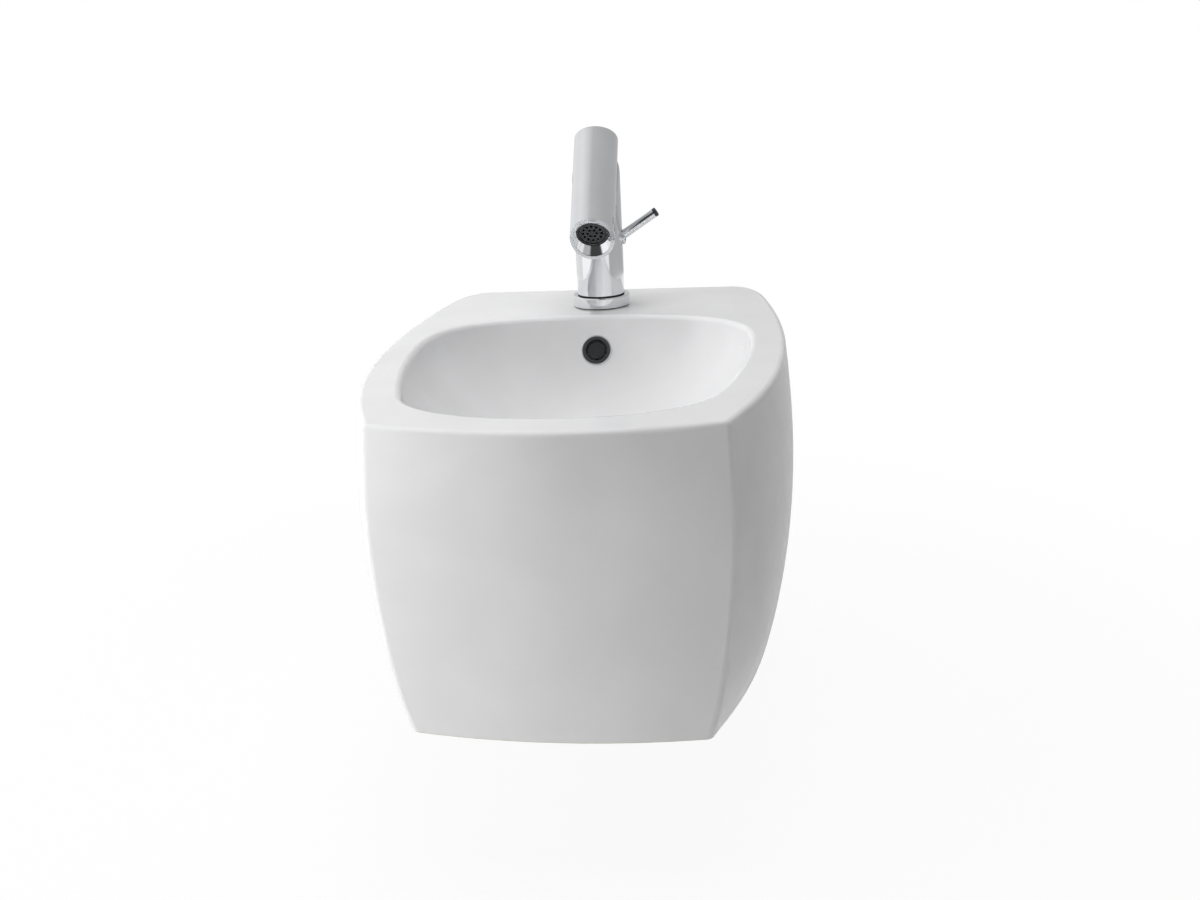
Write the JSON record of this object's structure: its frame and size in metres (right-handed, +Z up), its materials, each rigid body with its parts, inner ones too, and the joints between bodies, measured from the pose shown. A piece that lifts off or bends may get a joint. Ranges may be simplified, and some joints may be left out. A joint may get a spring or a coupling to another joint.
{
  "type": "wall-hung bidet",
  "caption": "White ceramic wall-hung bidet with a barrel-shaped body and a chrome side-lever mixer tap on the rear deck.",
  "frame": {"origin": "midway between the two wall bolts, on the plane of the finished wall", "axes": "+Z up, the bowl stands out from the wall along -Y, X = 0 is the plane of symmetry of the ceramic"},
  "size_m": [0.3894, 0.563, 0.4783],
  "materials": {
    "ceramic": "gloss white glaze",
    "chrome": "polished chrome plate",
    "dark_polymer": "dark moulded polymer",
    "white_polymer": "moulded polypropylene",
    "brass": "machined brass",
    "rubber": "moulded rubber",
    "steel": "zinc-plated steel"
  },
  "bodies": {
    "bidet": {"bowl": "ceramic", "overflow_ring": "chrome", "overflow_grid": "dark_polymer", "waste_flange": "chrome", "latch_cartridge": "white_polymer", "waste_gasket_upper": "rubber", "waste_gasket_lower": "rubber", "waste_nut": "brass", "trap_inlet_seal": "rubber", "trap_inlet_nut": "chrome", "trap_body": "chrome", "trap_cup_seal": "rubber", "trap_cup": "chrome", "trap_outlet_seal": "rubber", "trap_outlet_nut": "chrome", "outlet_pipe": "chrome", "tap_base_seal": "rubber", "tap_base_ring": "chrome", "tap_body": "chrome", "aerator_socket": "chrome", "cartridge": "white_polymer", "cartridge_nut": "brass", "lever_cover": "chrome", "tap_stud": "steel", "tap_horseshoe_pad": "rubber", "tap_horseshoe": "steel", "tap_nut": "brass", "wall_bolts": "steel", "bolt_sleeves": "white_polymer", "bolt_washers": "steel", "bolt_nuts": "steel"},
    "plug": {"waste_plug": "chrome", "plug_stem": "steel", "plug_seal": "rubber"},
    "lever_turn": {"lever_collar": "chrome"},
    "lever": {"lever_rod": "chrome", "cartridge_spindle": "steel"},
    "nozzle": {"aerator_ball": "dark_polymer", "aerator_insert": "dark_polymer"}
  },
  "joints": [
    {"name": "plug_lift", "type": "slide", "parent": "bidet", "child": "plug", "axis": [0, 0, 1], "range_m": [0, 0.008]},
    {"name": "temperature_turn", "type": "hinge", "parent": "bidet", "child": "lever_turn", "pos_m": [0.0224, -0.08, 0.161], "axis": [1, 0, 0], "range_deg": [-45, 45]},
    {"name": "flow_tilt", "type": "hinge", "parent": "lever_turn", "child": "lever", "pos_m": [0.0224, -0.08, 0.161], "axis": [0, 1, 0], "range_deg": [0, 25]},
    {"name": "nozzle_tilt", "type": "hinge", "parent": "bidet", "child": "nozzle", "pos_m": [0, -0.1286, 0.17675], "axis": [1, 0, 0], "range_deg": [-10, 10]}
  ]
}
